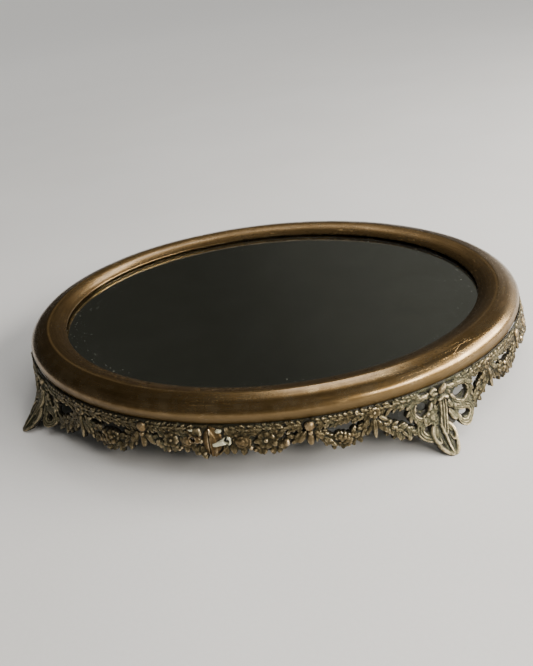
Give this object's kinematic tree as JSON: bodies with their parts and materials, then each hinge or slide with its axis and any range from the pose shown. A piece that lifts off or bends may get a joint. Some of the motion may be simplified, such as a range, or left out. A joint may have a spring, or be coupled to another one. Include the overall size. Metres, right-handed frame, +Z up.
{
  "type": "footed mirror vanity tray",
  "caption": "Oval mirror tray with a rolled brass rim on a pierced cast-brass gallery of flower swags and ribbon bows with leaf feet.",
  "frame": {"origin": "on the table plane under the centre of the oval rim", "axes": "+X along the oval's long axis, +Y to its back, +Z up"},
  "size_m": [0.3902, 0.3216, 0.0525],
  "materials": {
    "rim_brass": "patinated antique brass, satin, rubbed brighter on the outer roll",
    "cast_brass": "rough cast brass with grey-green verdigris in the recesses and worn high points",
    "mirror_glass": "clear plate glass, polished",
    "silvering": "old silvering, slightly foxed at the edge",
    "kraft_paper": "brown protective paper",
    "plywood": "raw thin backing board",
    "felt": "dark green wool felt",
    "bracket_brass": "plain sheet brass, dulled",
    "steel_screw": "small slotted screws, dulled"
  },
  "bodies": {
    "root": {"backing_board": "plywood", "bracket_left_back": "bracket_brass", "bracket_left_front": "bracket_brass", "bracket_mid_left_back": "bracket_brass", "bracket_mid_left_front": "bracket_brass", "bracket_mid_right_back": "bracket_brass", "bracket_mid_right_front": "bracket_brass", "bracket_right_back": "bracket_brass", "bracket_right_front": "bracket_brass", "bracket_screw_left_back": "steel_screw", "bracket_screw_left_front": "steel_screw", "bracket_screw_mid_left_back": "steel_screw", "bracket_screw_mid_left_front": "steel_screw", "bracket_screw_mid_right_back": "steel_screw", "bracket_screw_mid_right_front": "steel_screw", "bracket_screw_right_back": "steel_screw", "bracket_screw_right_front": "steel_screw", "felt_cover": "felt", "gallery_back_left": "cast_brass", "gallery_back_right": "cast_brass", "gallery_front_left": "cast_brass", "gallery_front_right": "cast_brass", "joint_screw_back_a": "steel_screw", "joint_screw_back_b": "steel_screw", "joint_screw_front_a": "steel_screw", "joint_screw_front_b": "steel_screw", "joint_screw_left_a": "steel_screw", "joint_screw_left_b": "steel_screw", "joint_screw_right_a": "steel_screw", "joint_screw_right_b": "steel_screw", "mirror_glass": "mirror_glass", "mirror_silvering": "silvering", "protective_paper": "kraft_paper", "rim_frame": "rim_brass", "splice_plate_back": "bracket_brass", "splice_plate_front": "bracket_brass", "splice_plate_left": "bracket_brass", "splice_plate_right": "bracket_brass"}
  },
  "joints": []
}
